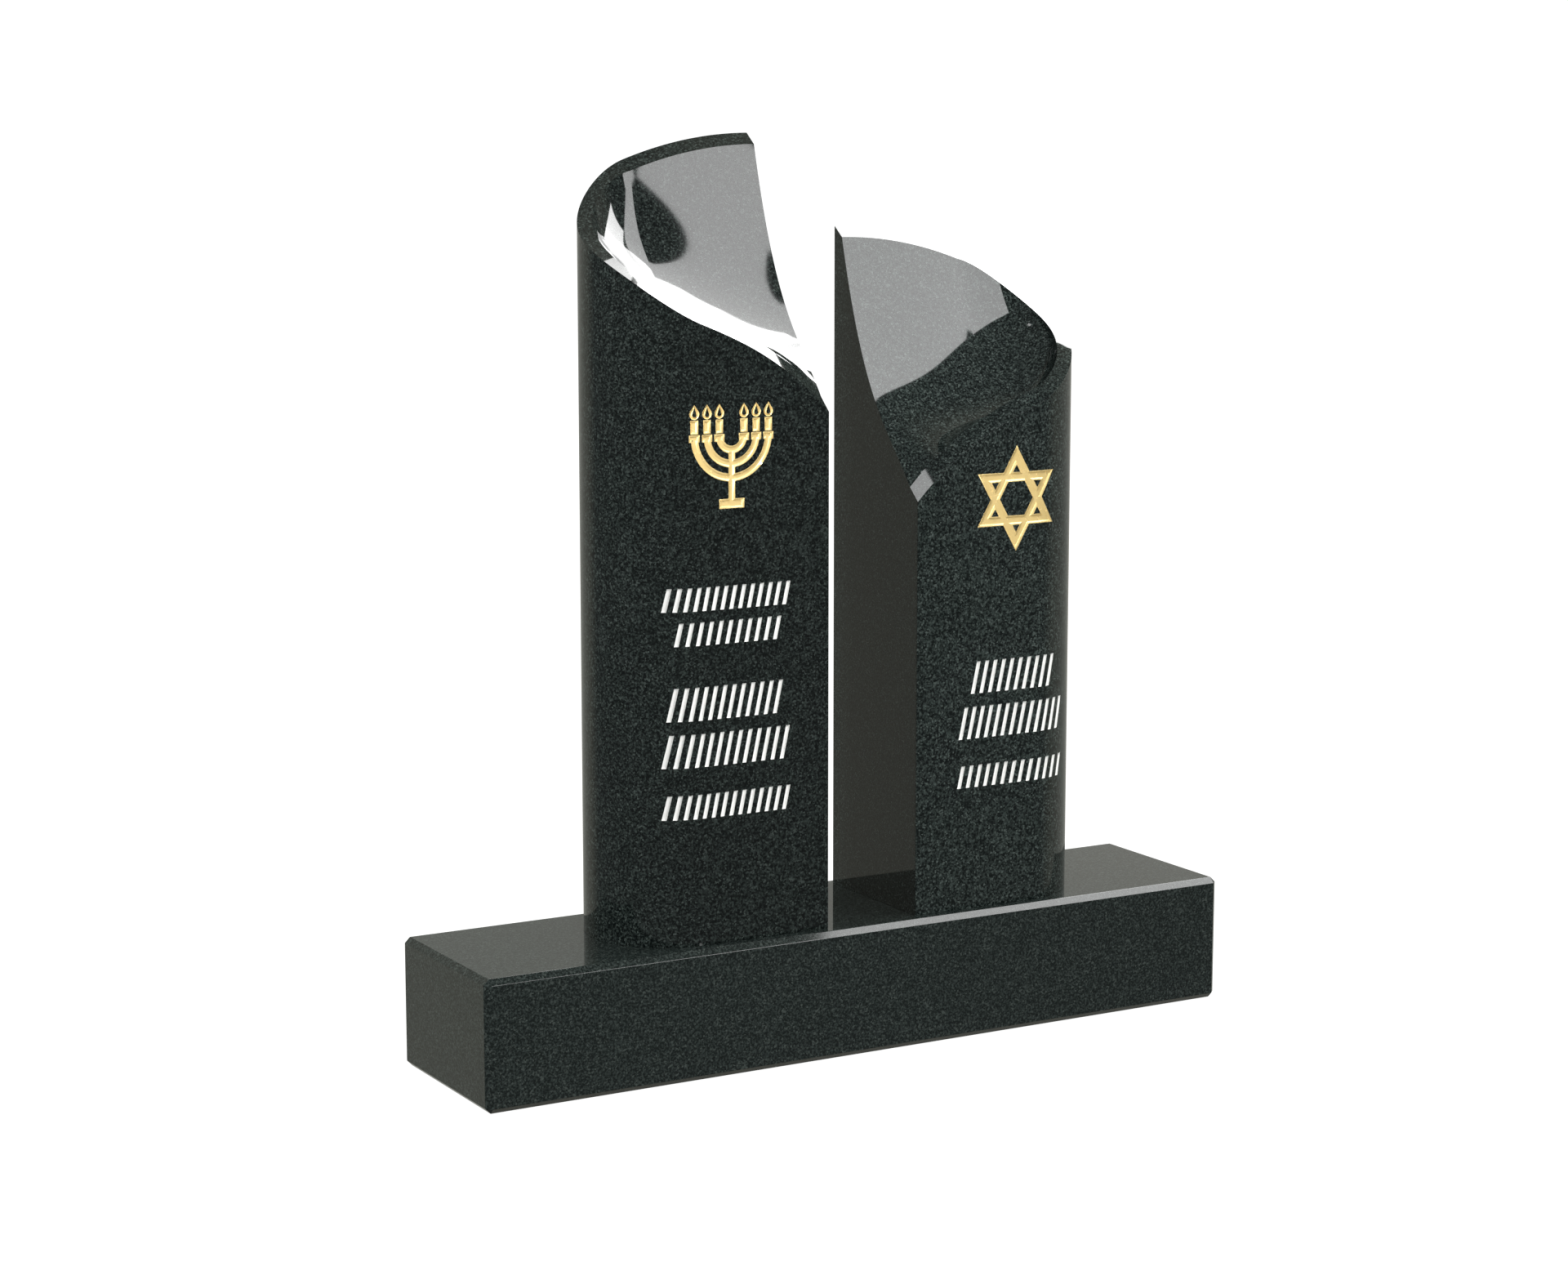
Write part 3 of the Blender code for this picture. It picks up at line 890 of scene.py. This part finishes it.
def soft_panel(name, things, azimuth, left, right, low, high, radiance, lights_up=True):
    """An upright soft panel across one azimuth. Its edges are shares of its distance."""
    width = (right - left) * PANEL_REACH
    height = (high - low) * PANEL_REACH
    light = bpy.data.lights.new(name, "AREA")
    light.shape = "RECTANGLE"
    light.size = width
    light.size_y = height
    light.energy = radiance * math.pi * width * height
    panel = bpy.data.objects.new(name, light)
    turn = math.radians(azimuth)
    facing = Vector((math.sin(turn), math.cos(turn), 0.0))
    aside = Vector((math.cos(turn), -math.sin(turn), 0.0))
    place = (facing + aside * (left + right) / 2) * PANEL_REACH
    panel.location = (place.x, place.y, PANEL_GROUND + PANEL_REACH * (low + high) / 2)
    panel.rotation_euler = (math.pi / 2, 0.0, math.pi - turn)
    panel.visible_camera = False
    panel.visible_diffuse = lights_up
    bpy.context.collection.objects.link(panel)
    shine_only_on(panel, things)


def soft_lamp(name, things, place, target, width, power, mirrored=True):
    """A square soft lamp that lights a few pieces, seen in their polish or not."""
    light = bpy.data.lights.new(name, "AREA")
    light.size = width
    light.energy = power
    lamp = bpy.data.objects.new(name, light)
    lamp.location = place
    lamp.rotation_euler = (Vector(target) - Vector(place)).to_track_quat("-Z", "Y").to_euler()
    lamp.visible_camera = False
    lamp.visible_glossy = mirrored
    bpy.context.collection.objects.link(lamp)
    shine_only_on(lamp, things)


PANEL_REACH = 8.0
PANEL_GROUND = 1.15
soft_panel("side panel", [granite_base, *paints, lampstand_gold, star_gold],
           89.2, -1.92, 2.98, 0.563, 1.616, 6.0)
soft_panel("left near panel", [tall_stone], 89.2, 1.65, 2.98, 0.80, 1.616, 6.3)
soft_panel("left band panel", [tall_stone], 89.2, -1.0, 1.65, 1.08, 1.616, 6.3)
soft_panel("left streak panel", [tall_stone], 72.0, -0.30, 0.47, 0.75, 1.40, 12.0)
soft_panel("left bright panel", [tall_stone], 62.0, -0.12, 0.14, 0.40, 0.95, 12.0)
soft_panel("right near panel", [low_stone], 165.0, -0.82, 0.70, 0.36, 1.46, 5.9)
soft_panel("right bright panel", [low_stone], 62.0, -0.34, 0.12, 0.18, 1.65, 12.0)
soft_panel("left glow panel", [tall_stone], 95.0, -0.55, 0.50, 0.60, 1.00, 14.0, lights_up=False)
soft_panel("right corner panel", [low_stone], -96.0, -0.12, 0.10, 1.60, 2.20, 5.5, lights_up=False)

soft_lamp("front fill", [granite_base, tall_stone, low_stone, *paints],
          (-1.2, -4.4, 3.4), (0.0, 0.0, 0.7), 2.0, 225.0, mirrored=False)
soft_lamp("side fill", [granite_base, tall_stone, low_stone],
          (-4.0, 0.6, 1.6), (0.0, 0.0, 0.6), 2.0, 120.0, mirrored=False)
soft_panel("emblem panel", [lampstand_gold, star_gold], -127.0, -0.30, 0.30, -0.35, 0.25, 6.0)
soft_lamp("emblem lamp", [lampstand_gold, star_gold],
          (-1.7, -1.6, 3.1), (0.0, -0.1, 0.9), 1.0, 200.0)

CAMERA_PLACE = (-2.6226, -4.4631, 1.4751)
CAMERA_AZIMUTH = math.radians(-29.72)
CAMERA_ELEVATION = math.radians(9.19)
CAMERA_LENS = 76.83
camera_data = bpy.data.cameras.new("camera")
camera_data.lens = CAMERA_LENS
camera_data.sensor_width = 36.0
camera = bpy.data.objects.new("camera", camera_data)
camera.location = CAMERA_PLACE
camera.rotation_euler = (math.pi / 2 - CAMERA_ELEVATION, 0.0, CAMERA_AZIMUTH)
bpy.context.collection.objects.link(camera)
bpy.context.scene.camera = camera
bpy.context.scene.view_settings.view_transform = "Standard"
